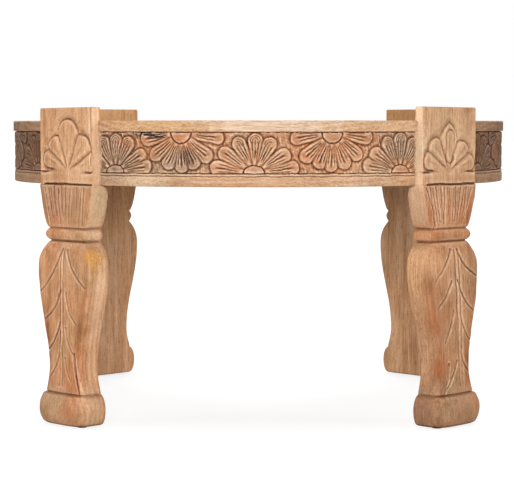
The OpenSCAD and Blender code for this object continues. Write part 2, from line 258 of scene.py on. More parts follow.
def baked(name, bm):
    """Mesh of a bmesh that is finished with."""
    mesh = bpy.data.meshes.new(name)
    bm.to_mesh(mesh)
    bm.free()
    return mesh


def linked(name, data):
    """New object in the scene for a mesh, a lamp or a camera."""
    made = bpy.data.objects.new(name, data)
    bpy.context.scene.collection.objects.link(made)
    return made


def finish(name, bm, nodes, material, sharp=35):
    """Object of a finished bmesh, shaded smooth up to the sharp angle, riding in the frame."""
    limit = math.radians(sharp)
    for face in bm.faces:
        face.smooth = True
    for edge in bm.edges:
        edge.smooth = edge.calc_face_angle(0) < limit
    piece = linked(name, baked(name, bm))
    piece.data.materials.append(material)
    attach(piece, "root")
    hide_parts(*nodes)


def carved_solid(place, marks):
    """Closed solid with a grid's rows and columns at these places, its open ends filled."""
    rows, columns = place.shape[0] - 1, place.shape[1] - 1
    bm = bmesh.new()
    bmesh.ops.create_grid(bm, x_segments=columns, y_segments=rows, size=1)
    mesh = bpy.data.meshes.new("grid")
    bm.to_mesh(mesh)
    flat = np.empty(len(mesh.vertices) * 3)
    mesh.vertices.foreach_get("co", flat)
    flat = flat.reshape(-1, 3)
    column = np.rint((flat[:, 0] + 1) / 2 * columns).astype(int)
    row = np.rint((flat[:, 1] + 1) / 2 * rows).astype(int)
    mesh.vertices.foreach_set("co", (place[row, column] * MM).ravel())
    for key, values in marks.items():
        layer = mesh.attributes.new(key, "FLOAT", "POINT")
        layer.data.foreach_set("value", values[row, column].astype(np.float32))
    bm.clear()
    bm.from_mesh(mesh)
    bpy.data.meshes.remove(mesh)
    bmesh.ops.remove_doubles(bm, verts=bm.verts, dist=CLOSE)
    bmesh.ops.dissolve_degenerate(bm, edges=bm.edges, dist=CLOSE)
    bmesh.ops.holes_fill(bm, edges=[edge for edge in bm.edges if edge.is_boundary], sides=0)
    bmesh.ops.recalc_face_normals(bm, faces=bm.faces)
    return bm


def turned(angle, across, out, up):
    """Table places of points given across, outwards and up, as seen from in front of a side."""
    c, s = math.cos(math.radians(angle)), math.sin(math.radians(angle))
    across, out, up = np.broadcast_arrays(across, out, up)
    return np.stack((out * c - across * s, out * s + across * c, up), axis=-1)


# ---- legs ----


OUTLINE_STEPS = 25
GROOVE_IN = 2
GROOVE_DEEP = 1.6


def leg_outline():
    """Rows of height, half width and face distance up a leg, zone by zone."""
    t = np.linspace(0, 1, OUTLINE_STEPS)
    barrel = barrel_in(2 * t - 1)
    drop = 1 - t**2.5
    quick = np.sin(np.pi / 2 * t)
    bead = np.sin(np.pi * t)
    swell = FACE_R + BODY_SWELL
    zones = (
        (
            mix(FOOT_Z, FOOT_TOP_Z, t),
            FOOT_W / 2 - FOOT_ROUND * barrel,
            FACE_R + FOOT_SWELL - FOOT_ROUND * 0.6 * barrel,
        ),
        ([GROOVE_Z], [FOOT_W / 2 - FOOT_ROUND - GROOVE_IN], [swell - GROOVE_DEEP]),
        (mix(LIP_Z, ANKLE_Z, t), mix(LIP_W, ANKLE_W, quick) / 2, swell - ANKLE_DRAW * quick),
        (
            mix(ANKLE_Z, BULGE_Z, t),
            mix(ANKLE_W, BODY_W, ease(t)) / 2,
            swell - ANKLE_DRAW * (1 - ease(t)),
        ),
        (mix(BULGE_Z, RING_Z, t), mix(NECK_W, BODY_W, drop) / 2, FACE_R + BODY_SWELL * drop),
        (mix(RING_Z, CAPITAL_Z, t), NECK_W / 2 + RING_PROUD * bead, FACE_R + RING_PROUD * 0.8 * bead),
        (mix(CAPITAL_Z, BLOCK_Z - CUT_H, t * t), mix(NECK_W, CAPITAL_W, t) / 2, FACE_R + 2 * quick),
        ([BLOCK_Z - CUT_H / 2], [CAPITAL_W / 2 - 0.3], [FACE_R]),
        ([BLOCK_Z, POST_H], [BLOCK_W / 2] * 2, [FACE_R] * 2),
    )
    return np.concatenate([np.array(zone) for zone in zones], axis=1)


# radius of a leg's front edges by height
ARRIS_R = (
    (2, 40, 47, 82, 130, 240, 261, 279, 339, 342, 450),
    (14, 14, 6, 7, 4, 3, 3.5, 2.5, 2, 1.8, 1.8),
)
# height, depth and width of each groove round a leg
WRAP_GROOVES = ((GROOVE_Z, 0.5, 1.0), (RING_Z, 1.8, 1.2), (CAPITAL_Z, 1.4, 1.1))
# roundness of a leg's face, and its stain, by height
CROWN_TABLE = ((3, 48, 60, 240, 264), (3.0, 3.0, 1.6, 1.6, 0))
STAIN_TABLE = ((3, 50, 120, 200, 264, 300, 338, 345), (0.75, 0.8, 0.7, 0.4, 0.35, 0.8, 0.7, 0.08))
POST_EDGE = 2.0
FOOT_EDGE = 3.0
EDGE_ROWS = 4
ROW_STEP = 0.98
LEAST_ROW = 0.3
SHOULDER_H = 17


def leg_rows(post_back):
    """Height, notch, bulge and back of each row of a leg, two rows where its section changes."""
    low, high = APRON_Z - LAP_FIT, BOARD_Z
    turn = 1 - np.cos(np.linspace(0, np.pi / 2, EDGE_ROWS))
    foot = FOOT_Z + FOOT_EDGE * turn
    post = POST_H - POST_EDGE * turn[::-1]
    below = (foot, np.arange(foot[-1] + ROW_STEP, low - LEAST_ROW, ROW_STEP), [low])
    inside = (np.arange(low, high - LEAST_ROW, ROW_STEP), [high])
    above = ([high], np.arange(high + ROW_STEP, post[0] - LEAST_ROW, ROW_STEP), post)
    below, inside, above = (np.concatenate(rows) for rows in (below, inside, above))
    round_off = unit((below - low + SHOULDER_H) / SHOULDER_H)
    round_off = 1 - np.sqrt(1 - round_off**2)
    height = np.concatenate((below, inside, above))
    notch = np.concatenate((round_off, np.ones_like(inside), np.zeros_like(above)))
    bulge = np.concatenate((np.ones_like(below), np.zeros_like(inside), np.ones_like(above)))
    back = np.where(np.arange(len(height)) < len(below) + len(inside), BACK_R, post_back)
    return height, notch, bulge, back


def edge_inset(z):
    """Draw-in at the rounded rims of the post's top and the foot's underside."""
    top = unit(1 - (POST_H - z) / POST_EDGE)
    low = unit(1 - (z - FOOT_Z) / FOOT_EDGE)
    return POST_EDGE * (1 - np.sqrt(1 - top**2)) + FOOT_EDGE * (1 - np.sqrt(1 - low**2))


def stretch(start, end, count):
    """Columns from start up to, and without, end."""
    return mix(start, end, np.arange(count)[None] / count)


# the palmette's foot, and the turn, reach, tip radius and point of each petal of its two fans
PALM_FOOT = (1.0, 359.0)
PALM_JOIN = 3.0
PALM_RELIEF = dict(
    gap_deep=2.8, gap_wide=6, gap_power=1.6, dome_wide=9, foot_deep=0.5, rim_deep=2.0, rim_wide=1.8
)
FAN_WIDE = (
    (90, 73, 20.5, 0), (47, 63, 17, 0), (129, 59, 13.5, 0), (15, 61, 14, 0), (158, 57, 12.5, 0),
)
FAN_POINTED = (
    (90, 69, 16, 14), (45, 54, 13, 0), (130, 58, 13, 0), (15, 57, 12.5, 0), (161, 57, 12.5, 0),
)
# start, end and bow of each vein of the two leaves
LEAF_LOW_Z = 55
LEAF_TOP_Z = 250
LEFT_LEAF = (
    ((-3, 250), (-52, 187), 6), ((-5, 192), (-41, 149), 6), ((-6, 146), (-34, 104), 4),
    ((-6, 104), (-31, 66), 4), ((8, 249), (46, 197), -6), ((7, 188), (30, 145), -5),
    ((6, 138), (25, 101), -4), ((6, 97), (19, 65), -3),
)
RIGHT_LEAF = (
    ((-1, 250), (-39, 206), 2), ((-3, 205), (-32, 169), 2), ((-1, 164), (-21, 120), 2),
    ((4, 93), (-26, 50), 3), ((12, 250), (54, 208), -6), ((10, 206), (46, 160), -6),
    ((14, 160), (38, 116), -5), ((14, 104), (31, 74), -3),
)
# paleness of the planks' sides by height
SAPWOOD_Z = (45, 100, 130, 235, 262, 330, 345)
PALE_SIDE = (0.25, 0.2, 0.5, 0.6, 0.65, 0.7, 0.5)
PALE_POST = (0.0, 0.0, 0.0, 0.05, 0.2, 0.5, 1.0)
WIDE_LEG = dict(
    fan=FAN_WIDE, leaf=LEFT_LEAF, midrib=(-1.5, -3.0, 2.7), heel=((24, 104), (37, 47), -2),
    flutes=(11, 8.6, 6.6), split=(((53.6, 450), (53.2, 368)),), finger=False,
)
POINTED_LEG = dict(
    fan=FAN_POINTED, leaf=RIGHT_LEAF, midrib=(9.0, 13.0, 3.8), heel=((-14, 90), (-27, 47), 2),
    flutes=(13, 7.4, 5.2), split=(((-51, 336), (-36, 304)), ((-36, 305), (-33, 281))), finger=True,
)
LEGS = {
    "front_left": dict(WIDE_LEG, side=1, seed=11, drop=(1.8, -0.5), sapwood=PALE_SIDE),
    "front_right": dict(POINTED_LEG, side=1, seed=23, drop=(1.0, 0.4), sapwood=PALE_POST),
    "rear_right": dict(WIDE_LEG, side=-1, seed=37, drop=(0, 0), sapwood=PALE_SIDE),
    "rear_left": dict(POINTED_LEG, side=-1, seed=41, drop=(0, 0), sapwood=PALE_POST),
}


def palmette_cut(u, z, fan, finger):
    """Depth of the fan of petals carved on a leg's block."""
    petals = [(PALM_FOOT, turn, reach, 4.0, tip_r, point) for turn, reach, tip_r, point in fan]
    outside, valley, along, across = nearest_petal(u, z, petals)
    outside = outside - PALM_JOIN * unit(1 - valley / 7)
    above = z - PALM_FOOT[1]
    edge = -outside
    petal = petal_relief(edge, valley, along, PALM_RELIEF)
    spine = peak(across, 0.22) * unit((along - 0.35) / 0.2) * unit((0.9 - along) / 0.3)
    slope = 3.8 * unit(1 - outside / 10) ** 1.5
    depth = np.where(edge > 0, petal + 0.8 * spine, slope)
    depth = depth * unit((above + 3) / mix(4, 12, unit((34 - np.abs(u)) / 12)))
    base = 3.4 * peak(above + 0.4, 2.4) * unit((np.abs(u) - 30) / 12)
    depth = np.maximum(depth, base) * mix(0.4, 1, unit((57 - np.abs(u)) / 5))
    for side in (-1, 1):
        stem = cut_line(u, z, (7 * side, 357), (9 * side, 345), wide=3, deep=1.0)
        depth = np.maximum(depth, stem)
    if finger:
        loop = np.hypot(u - 3, z - np.clip(z, 379, 409)) - 8.5
        depth = depth + 1.9 * peak(loop, 2.2)
        knot = 2.4 * unit(1.4 - np.hypot(u - 40, (z - 384.5) * 1.2) / 3.2)
        depth = np.maximum(depth, knot)
    return depth


def flutes_cut(u, z, leg, rng):
    """Depth of the uneven flutes in a leg's capital."""
    depth = np.zeros_like(u)
    count, top_pitch, low_pitch = leg["flutes"]
    for k in range(count):
        lean = rng.uniform(-2.3, 2.3, 2)
        step = k - (count - 1) / 2
        top = (step * top_pitch + lean[0], BLOCK_Z - rng.uniform(3, 8))
        low = (step * low_pitch + lean[1], CAPITAL_Z + rng.uniform(2, 22))
        wide, deep = rng.uniform(2.6, 4.8), rng.uniform(1.4, 4.2)
        depth = np.maximum(depth, cut_line(u, z, top, low, wide=wide, deep=deep, taper=0.2))
    return depth


def leaf_cut(u, z, leg, rng):
    """Depth of the veins, the dished midrib and the heel of the leaf on a leg's body."""
    depth = np.zeros_like(u)
    for start, end, bow in leg["leaf"]:
        vein = cut_line(u, z, start, end, bow, wide=5.6, deep=rng.uniform(2.7, 3.5), taper=0.4)
        depth = np.maximum(depth, vein)
    rib_top, rib_low, rib_half = leg["midrib"]
    middle = u - mix(rib_low, rib_top, unit((z - LIP_Z) / (LEAF_TOP_Z - LIP_Z)))
    on_leaf = unit((z - LEAF_LOW_Z) / 3) * unit((LEAF_TOP_Z + 1 - z) / 3)
    rib = 2.6 * peak(np.abs(middle) - rib_half, 2.1)
    dish = peak(middle, 18) ** 2 * unit((np.abs(middle) - 3) / 2)
    depth = np.maximum(depth, rib * on_leaf) + 0.9 * dish * on_leaf
    start, end, bow = leg["heel"]
    return np.maximum(depth, cut_line(u, z, start, end, bow, wide=6, deep=3.6, taper=0.2))


def leg_cut(u, z, leg):
    """Depth of all that is carved on a leg's face."""
    seed = leg["seed"]
    rng = np.random.default_rng(seed)
    u = u * leg["side"] + 0.7 * ripples(u, z, 60, seed) + 0.25 * ripples(u, z, 13, seed + 2)
    z = z + 0.7 * ripples(u, z, 60, seed + 1) + 0.25 * ripples(u, z, 13, seed + 3)
    depth = palmette_cut(u, z, leg["fan"], leg["finger"]) * unit((z - BLOCK_Z - 2) / 3)
    rim = cut_line(u, z, (-48, BLOCK_Z - 0.6), (55, BLOCK_Z - 0.6), wide=3.6, deep=3.4, taper=0)
    depth = np.maximum(depth, rim)
    for start, end in leg["split"]:
        depth = np.maximum(depth, cut_line(u, z, start, end, wide=4.4, deep=4.2, taper=0.1))
    depth = np.maximum(depth, flutes_cut(u, z, leg, rng))
    return np.maximum(depth, leaf_cut(u, z, leg, rng))


def wrap_grooves(z):
    """Depth of the thin grooves that run round a leg by its ring and over its foot."""
    depth = np.zeros_like(z)
    for height, deep, wide in WRAP_GROOVES:
        depth = np.maximum(depth, deep * np.exp(-(((z - height) / wide) ** 2)))
    return depth


# columns of half a leg's section, from the middle of its back to the middle of its face
BACK_COLUMNS = 8
KNEE_COLUMNS = 2
SIDE_COLUMNS = 14
ARRIS_COLUMNS = 8
FACE_COLUMNS = 68
LEAST_STEP = 0.8
KNEE_SHARE = 0.3
STAINED_SIDE = 6


def mirror_section(half, sign):
    """Whole loop from its first half, mirrored across the middle."""
    return np.concatenate((half, sign * half[..., -2::-1]), axis=-1)


def leg_section(z, notch, bulge, back):
    """Columns round each row of a leg, across and outwards, and which way each faces."""
    outline = leg_outline()
    inset = edge_inset(z)
    half = np.interp(z, outline[0], outline[1]) - inset
    face = np.interp(z, outline[0], outline[2]) - inset
    arris = np.interp(z, *ARRIS_R)
    back = back + inset
    step_in = mix(LEAST_STEP, LAP_L + LAP_FIT, notch)
    step_out = mix(LEAST_STEP, POST_BACK_R - BACK_R, notch)
    knee = mix(1, KNEE_SHARE, bulge)
    rows = (half, face, arris, back, step_in, step_out, knee)
    half, face, arris, back, step_in, step_out, knee = (row[:, None] for row in rows)
    zero = np.zeros_like(half)
    turn = (np.arange(ARRIS_COLUMNS)[None] / ARRIS_COLUMNS - 1) * -np.pi / 2
    stops_u = (zero, half - step_in, half - step_in * knee, half, half)
    stops_r = (back, back, back + step_out * knee, back + step_out, face - arris)
    counts = (BACK_COLUMNS, KNEE_COLUMNS, KNEE_COLUMNS, SIDE_COLUMNS)
    u = [stretch(*ends) for ends in zip(stops_u, stops_u[1:], counts)]
    r = [stretch(*ends) for ends in zip(stops_r, stops_r[1:], counts)]
    u += [half - arris + arris * np.sin(turn), stretch(half - arris, zero, FACE_COLUMNS), zero]
    r += [face - arris + arris * np.cos(turn), stretch(face, face, FACE_COLUMNS), face]
    flank = np.full(BACK_COLUMNS + 2 * KNEE_COLUMNS + SIDE_COLUMNS, np.pi / 2)
    lean = np.concatenate((flank, turn[0], np.zeros(FACE_COLUMNS + 1)))
    u, r = np.concatenate(u, axis=1), np.concatenate(r, axis=1)
    return mirror_section(u, -1), mirror_section(r, 1), mirror_section(lean, -1)


def section_shares():
    """Share of the carving, of the wear and of the edge stain in each column of a leg."""
    back = np.zeros(BACK_COLUMNS + 2 * KNEE_COLUMNS)
    arris = np.ones(ARRIS_COLUMNS)
    face = np.ones(FACE_COLUMNS + 1)
    clean_side = np.zeros(SIDE_COLUMNS - STAINED_SIDE)
    stained_side = np.linspace(0.2, 1, STAINED_SIDE)
    fading = np.exp(-((np.arange(FACE_COLUMNS + 1) / 10.0) ** 2))
    shares = (
        (back, np.linspace(0, 1, SIDE_COLUMNS) ** 3, arris, face),
        (back, unit(np.arange(SIDE_COLUMNS) / 3), arris, face),
        (back, clean_side, stained_side, arris, fading),
    )
    return [mirror_section(np.concatenate(share), 1) for share in shares]


def leg_marks(z, cut, frontal, wear, edge_stain, paleness):
    """Hollows (patina and painted shade), ridges (wear and painted highlight), sapwood and stain of a
    leg, each from 0 to 1.
    """
    edge_stain = edge_stain[None] * unit((z - 52) / 20) * unit((235 - z) / 30)
    # hollow darkens the cuts as patina and painted shade; ridge lightens their shoulders as wear and
    # painted highlight
    hollow, ridge = hollow_and_ridge_marks(cut, 1.5, 0.7)
    sapwood = np.interp(z, SAPWOOD_Z, paleness) * (1 - frontal) * wear
    return {
        "hollow": hollow,
        "ridge": ridge,
        "sapwood": sapwood * (1 - 0.8 * edge_stain),
        "stain": unit(np.interp(z, *STAIN_TABLE) * mix(0.25, 1, frontal) + 0.6 * edge_stain),
    }


def leg(name, angle):
    """Carved plank with a crowned, uneven surface, a spread foot and a worn post."""
    spec = LEGS[name]
    z, notch, bulge, back = leg_rows(BACK_R if name == "rear_left" else POST_BACK_R)
    u, r, lean = leg_section(z, notch, bulge, back)
    carving, wear, edge_stain = section_shares()
    z = np.broadcast_to(z[:, None], u.shape)
    cut = leg_cut(u, z, spec) * carving
    cut = np.maximum(cut, wrap_grooves(z) * wear)
    free = unit((APRON_Z - 4 - z) / 12)
    uneven = 0.35 * ripples(u + r, z, 34, spec["seed"] + 5) * free * wear
    half = np.abs(u).max(axis=1, keepdims=True)
    inward = cut + uneven + np.interp(z, *CROWN_TABLE) * (u / half) ** 2 * np.cos(lean)
    u = u - inward * np.sin(lean)
    spread = FOOT_SPREADS[name] * unit((BULGE_Z - z) / (BULGE_Z - FOOT_TOP_Z))
    r = r - inward * np.cos(lean) * carving + spread
    frontal = np.cos(lean)[None] * carving
    marks = leg_marks(z, cut, frontal, wear, edge_stain, spec["sapwood"])
    drop = spec["drop"][0] + spec["drop"][1] * u / half
    z = z - drop * unit((z - TOP_Z) / (POST_H - TOP_Z))
    bm = carved_solid(turned(angle, u, r, z), marks)
    material = leg_wood(name, angle, spec["seed"])
    finish(f"carved_leg_{name}", bm, [f"leg_{name}"], material, sharp=60)


# ---- apron ----

RISING_TURNS = (8, 31, 60, 90, 118, 148, 171)
HANGING_TURNS = (9, 41, 67, 90, 113, 140, 171)
HEART_R = 13.4
FLOWER_PITCH = 16
FLOWER_SHIFTS = (0, -1, -5, -2, 0)
FLOWER_RELIEF = dict(
    gap_deep=1.6, gap_wide=3, gap_power=1.3, dome_wide=5, foot_deep=0.6, rim_deep=1.7, rim_wide=1.3
)
APRON_COLUMNS = 640
FACE_ROWS = 96
INNER_ROWS = 6
STRIP_EDGE = 1.6
TOP_EDGE = 0.6
# start, end, width and depth of the front apron's cracks, and painted shade that darkens the side
# aprons' friezes
CRACKS = (
    ((-168, 414.3), (-149, 412.6), 3.4, 5.0),
    ((-160, 410.4), (-131, 407.0), 3.8, 5.0),
)
PAINTED_FRIEZE_SHADE = {"front": 0.0, "right": 0.6, "rear": 0.0, "left": 0.6}


def frieze_flowers(seed):
    """Heart place, rise (1 up, -1 down) and petals of each half-flower along the frieze."""
    rng = np.random.default_rng(seed)
    flowers = []
    for k in range(-2, 3):
        rise = 1 if k % 2 == 0 else -1
        foot_z = FRIEZE_Z + 1.5 if rise == 1 else BOARD_Z - 1.5
        along = math.radians(k * FLOWER_PITCH) * APRON_R + FLOWER_SHIFTS[k + 2]
        foot = (along + rng.uniform(-0.8, 0.8), foot_z)
        petals = []
        for turn in RISING_TURNS if rise == 1 else HANGING_TURNS:
            turn_now = turn + rng.uniform(-2, 2)
            side = abs(math.cos(math.radians(turn)))
            reach = FRIEZE_H - 3.0 + 7 * side**4 + rng.uniform(-1.5, 1.0)
            tip_r = 10.2 * rng.uniform(0.92, 1.06)
            petals.append((foot, rise * turn_now, reach, 3.2, tip_r))
        flowers.append((foot, rise, petals))
    return flowers


def petal_lines(along, across, edge, eyes):
    """Depth of the spine, side lines and eye cut in the petals of a flower."""
    on_petal = unit((along - 0.3) / 0.1) * unit((0.88 - along) / 0.1)
    spine = peak(across, mix(0.06, 0.24, unit(along)))
    lines = 2.4 * spine * on_petal * np.where(eyes, 0.5, 1)
    for side in (-0.5, 0.5):
        vein = 1.8 * peak(across - side * unit(along * 1.25), 0.15) * unit((0.84 - along) / 0.1)
        lines = np.maximum(lines, vein * on_petal)
    arc = peak(edge - 3.4, 0.9) + peak(edge - 6.4, 0.9)
    return np.maximum(lines, 1.5 * arc * unit((along - 0.7) / 0.06) * eyes)


def heart_cut(depth, s, z, flowers):
    """Depth of a frieze with the flowers' round hearts, each in a sunk ring, laid over it."""
    for foot, rise, _ in flowers:
        gap = np.hypot(s - foot[0], (z - foot[1]) * (1.4 if rise == 1 else 1.0))
        heart = 0.2 + 0.9 * unit(gap / HEART_R) ** 4
        ring = 3.4 - 1.5 * unit(np.abs(gap - HEART_R - 0.9) / 1.7)
        depth = np.where(gap < HEART_R, heart, np.where(gap < HEART_R + 2.4, ring, depth))
    return depth


def strip_cut(s, z, seed):
    """Depth of the plain strip under the frieze, with a bead and a groove along its top."""
    low = FRIEZE_Z - z
    strip = 0.05 * ripples(s, z, 30, seed)
    bead = 1 - np.sqrt(1 - unit(np.abs(1.2 - low) / 1.4) ** 2)
    groove = 1.7 * peak(3.1 - low, 1.3)
    return np.where(low > 2.1, np.maximum(strip, groove), 0.2 + 1.4 * bead)


def frieze_cut(s, z, seed, cracks):
    """Depth of the flowers carved on an apron, by distance along its face and height."""
    s = s + 0.5 * ripples(s, z, 40, seed) + 0.2 * ripples(s, z, 9, seed + 4)
    z = z + 0.4 * ripples(s, z, 40, seed + 1) + 0.2 * ripples(s, z, 9, seed + 6)
    flowers = frieze_flowers(seed)
    petals = [petal for flower in flowers for petal in flower[2]]
    outside, valley, along, across = nearest_petal(s, z, petals)
    outside = outside - 1.4 * unit(1 - valley / 4)
    edge = -outside
    rising = np.zeros_like(s)
    for foot, rise, _ in flowers:
        beside = unit(12 - np.abs(np.abs(s - foot[0]) - 12))
        rising = np.maximum(rising, beside * (rise == 1) * (z > FRIEZE_Z + FRIEZE_H * 0.55))
    petal = petal_relief(edge, valley, along, FLOWER_RELIEF)
    petal = petal + petal_lines(along, across, edge, rising)
    ground = 1.2 + 2.0 * unit(1 - outside / 5) ** 1.4 + 0.28 * ripples(s, z, 5, seed + 2)
    depth = heart_cut(np.where(edge > 0, petal, ground), s, z, flowers)
    depth = np.where(z - FRIEZE_Z < 1.3, 3.2, depth)
    depth = np.where(BOARD_Z - z < 1.4, 3.0, depth)
    for start, end, wide, deep in cracks:
        depth = np.maximum(depth, cut_line(s, z, start, end, 0.6, wide, deep, taper=0.3))
    return np.where(z < FRIEZE_Z, strip_cut(s, z, seed + 3), depth)


def apron_rows():
    """Heights of an apron's face rows, from its rounded lower edge up."""
    turn = np.linspace(0, np.pi / 2, 5)
    low = APRON_Z + STRIP_EDGE * (1 - np.cos(turn))
    face = np.linspace(APRON_Z + STRIP_EDGE, BOARD_Z - TOP_EDGE, FACE_ROWS)[1:]
    return np.concatenate((low, face, [BOARD_Z]))


def apron_marks(z, cut, on_face, end_gap, painted_shade):
    """Hollows (patina and painted shade), ridges (wear and painted highlight) and stain of an apron,
    each from 0 to 1.
    """
    on_frieze = unit((z - FRIEZE_Z + 0.5) / 1.5)
    hollow, ridge = hollow_and_ridge_marks(cut, 0.85, 0.6)
    # cuts deeper than the carving, the cracks, are darkened as painted shadow
    hollow = np.maximum(hollow, unit((cut - 3.6) / 0.6))
    # the last few millimetres at each apron end are lightened as a painted highlight
    ridge = np.maximum(ridge * (1 - painted_shade), unit((3.5 - end_gap) / 1.5)[None])
    # painted shade on the side friezes darkens their hollows and takes out their ridges' pale marks
    return {
        "hollow": unit(hollow + painted_shade * on_frieze) * on_face,
        "ridge": ridge * on_face,
        "stain": unit(0.32 + 0.58 * on_frieze) * on_face + 0.35 * (1 - on_face),
    }


def apron(name, angle):
    """Curved piece with a carved face, a plain back and a tongue at each end."""
    seed = 100 + angle
    face_z = apron_rows()
    count = len(face_z)
    inner_z = np.linspace(BOARD_Z, APRON_Z, INNER_ROWS)
    z = np.concatenate((face_z, [BOARD_Z], inner_z, [APRON_Z, face_z[0]]))
    t = np.concatenate(([-1, -1], np.linspace(-1, 1, APRON_COLUMNS + 1), [1, 1]))
    half_s = math.radians(45 - math.degrees(math.asin(BLOCK_W / 2 / APRON_R))) * APRON_R
    s_grid, z_grid = np.meshgrid(t * half_s, z)
    cut = np.zeros_like(s_grid)
    cracks = CRACKS if name == "front" else ()
    cut[:count] = frieze_cut(s_grid[:count], z_grid[:count], seed, cracks)
    rim = unit(1 - (face_z - APRON_Z) / STRIP_EDGE)
    inset = STRIP_EDGE * (1 - np.sqrt(1 - rim**2)) + TOP_EDGE * (face_z >= BOARD_Z)
    offset = np.full_like(t, BLOCK_W / 2)
    offset[[0, -1]] -= LAP_L
    shoulder_r = np.hypot(LAP_R, offset)
    tongues = [0, 1, -2, -1]
    radius = np.full_like(s_grid, APRON_IN_R)
    radius[:count] = APRON_R - cut[:count] - inset[:, None]
    radius[:count, tongues] = shoulder_r[tongues]
    radius[[count, -2]] = shoulder_r
    radius[-1] = radius[0]
    phi = t[None] * (math.pi / 4 - np.arcsin(offset[None] / radius))
    place = turned(angle, radius * np.sin(phi), radius * np.cos(phi), z_grid)
    on_face = np.zeros_like(s_grid)
    on_face[:count] = 1
    marks = apron_marks(z_grid, cut, on_face, (1 - np.abs(t)) * half_s, PAINTED_FRIEZE_SHADE[name])
    bm = carved_solid(place, marks)
    material = apron_wood(name, angle, seed)
    finish(f"carved_apron_{name}", bm, [f"apron_{name}"], material, sharp=60)


# ---- boards and inner frame ----


def eased_copy(name, node, width, material, least=12):
    """Copy of a CAD node with its long sharp edges eased."""
    bm = bmesh.new()
    bm.from_mesh(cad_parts[node].data)
    bmesh.ops.remove_doubles(bm, verts=bm.verts, dist=CLOSE)
    flat = math.radians(0.5)
    bmesh.ops.dissolve_limit(bm, angle_limit=flat, verts=bm.verts, edges=bm.edges)
    sharp = []
    for edge in bm.edges:
        if edge.calc_face_angle(0) > math.radians(30) and edge.calc_length() > least * MM:
            sharp.append(edge)
    bmesh.ops.bevel(
        bm, geom=sharp, offset=width * MM, affect="EDGES",
        segments=2, profile=0.5, material=-1, clamp_overlap=False,
    )
    finish(name, bm, [node], material)


def boards():
    """Top boards, with their seams and rim eased."""
    for number in range(1, BOARDS + 1):
        node = f"top_board_{number}"
        eased_copy(f"board_{number}", node, 0.7, top_wood(number), least=20)


def inner_frame():
    """Corner blocks behind the legs, and cleats under the boards."""
    for number, name in enumerate(LEG_ANGLES):
        node = f"corner_block_{name}"
        material = frame_wood(f"block {name}", LEG_ANGLES[name] + 90, number + 1)
        eased_copy(f"block_{name}", node, 1.0, material)
    for number, side in enumerate(("left", "right")):
        material = frame_wood(f"cleat {side}", 90, number + 6)
        eased_copy(f"batten_{side}", f"cleat_{side}", 1.5, material)


# ---- screws and glides ----


def spun(bm, outline, steps):
    """Closed turned solid round Z from its outline, which starts and ends on the axis."""
    verts = [bm.verts.new((radius * MM, 0, height * MM)) for radius, height in outline]
    edges = [bm.edges.new(pair) for pair in zip(verts, verts[1:])]
    bmesh.ops.spin(
        bm, geom=verts + edges, cent=(0, 0, 0), axis=(0, 0, 1),
        angle=2 * math.pi, steps=steps, use_merge=True,
    )
    bmesh.ops.remove_doubles(bm, verts=bm.verts, dist=CLOSE)
    bmesh.ops.recalc_face_normals(bm, faces=bm.faces)


def screw_mesh(reach):
    """Countersunk screw with a cross recess, its head flush with z = 0 and its tip up."""
    bm = bmesh.new()
    slope = (HEAD_D - SCREW_D) / 2
    outline = [
        (0, 0), (RECESS_MIDDLE_R, 0), (RECESS_R, 0), (HEAD_D / 2 - 0.2, 0), (HEAD_D / 2, 0.15),
        (SCREW_D / 2, slope), (SCREW_D / 2, reach - SCREW_D), (0, reach),
    ]
    spun(bm, outline, 16)
    recess = []
    for face in bm.faces:
        middle = face.calc_center_median() / MM
        sector = math.degrees(math.atan2(middle.y, middle.x)) % 90
        reach_r = RECESS_R if sector < RECESS_SECTOR else RECESS_MIDDLE_R
        if abs(middle.z) < 0.01 and middle.xy.length < reach_r:
            recess.append(face)
    sunk = bmesh.ops.extrude_face_region(bm, geom=recess)["geom"]
    floor = [part for part in sunk if isinstance(part, bmesh.types.BMVert)]
    bmesh.ops.delete(bm, geom=recess, context="FACES")
    bmesh.ops.translate(bm, verts=floor, vec=(0, 0, RECESS_DEEP * MM))
    bmesh.ops.scale(bm, verts=floor, vec=(0.75, 0.75, 1))
    bmesh.ops.recalc_face_normals(bm, faces=bm.faces)
    return baked("screw", bm)


def placed(bm, mesh, matrix):
    """Adds a mesh to a bmesh, moved by the matrix."""
    before = len(bm.verts)
    bm.from_mesh(mesh)
    bm.verts.ensure_lookup_table()
    bmesh.ops.transform(bm, matrix=matrix, verts=bm.verts[before:])


def seat(angle, across, out, up, tilt=0):
    """Matrix to a place seen from in front of a side; a tilt of 90 points Z outwards."""
    turn = Matrix.Rotation(math.radians(angle - 90), 4, "Z")
    move = Matrix.Translation(Vector((across, out, up)) * MM)
    return turn @ move @ Matrix.Rotation(math.radians(-tilt), 4, "X")


def screws(material):
    """Screws of the corner blocks and the cleats, joined by what they hold."""
    wing_x = WING_REACH - WING_SCREW_IN
    wing_grip = math.sqrt(APRON_IN_R**2 - wing_x**2) - CORNER_IN_R
    screw_z = BOARD_Z - CORNER_H / 2
    sets = {name: bmesh.new() for name in ("block", "top", "cleat")}
    for angle in LEG_ANGLES.values():
        for x, grip in ((LEG_SCREW_X, CORNER_T), (wing_x, wing_grip)):
            for side in (-1, 1):
                place = seat(angle, side * x, CORNER_IN_R, screw_z, 90)
                placed(sets["block"], screw_mesh(grip + SCREW_BITE), place)
        place = seat(angle, 0, CORNER_IN_R + TOP_SCREW_OUT, BOARD_Z - TOP_GRIP)
        placed(sets["top"], screw_mesh(TOP_GRIP + SCREW_BITE), place)
    limit = corners("cleat_left")[1][1] - CLEAT_SCREW_IN
    for side in (-1, 1):
        for number in range(BOARDS):
            y = np.clip((number + 0.5) * 2 * TOP_R / BOARDS - TOP_R, -limit, limit)
            place = seat(90, side * CLEAT_X, y, BOARD_Z - CLEAT_H)
            placed(sets["cleat"], screw_mesh(CLEAT_H + SCREW_BITE), place)
    for name, bm in sets.items():
        finish(f"screws_{name}", bm, [f"{name}_screws"], material)


